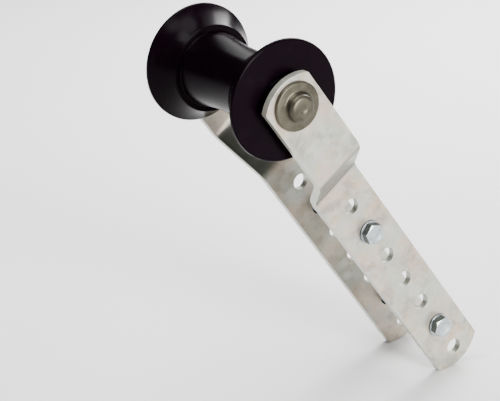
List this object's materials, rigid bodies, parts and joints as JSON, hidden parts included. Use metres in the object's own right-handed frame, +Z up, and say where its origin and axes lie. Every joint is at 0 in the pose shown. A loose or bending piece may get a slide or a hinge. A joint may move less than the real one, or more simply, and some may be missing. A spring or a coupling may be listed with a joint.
{
  "type": "bow roller",
  "caption": "Boat-trailer bow roller: a waisted black rubber roller on a capped spindle, carried by joggled flat-bar arms that clamp across a box-section beam.",
  "frame": {"origin": "centre of the arms' middle hole, halfway between the arms", "axes": "+X along the beam, +Y along the roller's spindle from the bolt-head side to the nut side, +Z up; the arms lean 32 degrees from +Z towards -X"},
  "size_m": [0.1968, 0.1376, 0.277],
  "materials": {
    "galvanised": "hot-dip galvanised, matt, with a faint spangle",
    "roller": "smooth moulded black rubber with a soft gloss",
    "bush": "black nylon",
    "spindle": "bright drawn steel",
    "cap": "dull olive-brown passivated steel",
    "spring_steel": "dark spring steel",
    "zinc_plate": "zinc plated, blue-white"
  },
  "bodies": {
    "frame": {"near_arm": "galvanised", "far_arm": "galvanised", "upper_bolt": "zinc_plate", "lower_bolt": "zinc_plate", "upper_flat_washer": "zinc_plate", "lower_flat_washer": "zinc_plate", "upper_spring_washer": "spring_steel", "lower_spring_washer": "spring_steel", "upper_nut_washer": "zinc_plate", "lower_nut_washer": "zinc_plate", "upper_nut": "zinc_plate", "lower_nut": "zinc_plate"},
    "spindle": {"spindle": "spindle", "near_lock_ring": "spring_steel", "far_lock_ring": "spring_steel", "near_cap": "cap", "far_cap": "cap"},
    "roller": {"roller_body": "roller", "near_bush": "bush", "far_bush": "bush"}
  },
  "joints": [
    {"name": "spindle_turn", "type": "hinge", "parent": "frame", "child": "spindle", "pos_m": [-0.0991, 0, 0.15859], "axis": [0, 1, 0], "continuous": true},
    {"name": "roller_spin", "type": "hinge", "parent": "spindle", "child": "roller", "pos_m": [-0.0991, 0, 0.15859], "axis": [0, 1, 0], "continuous": true}
  ]
}
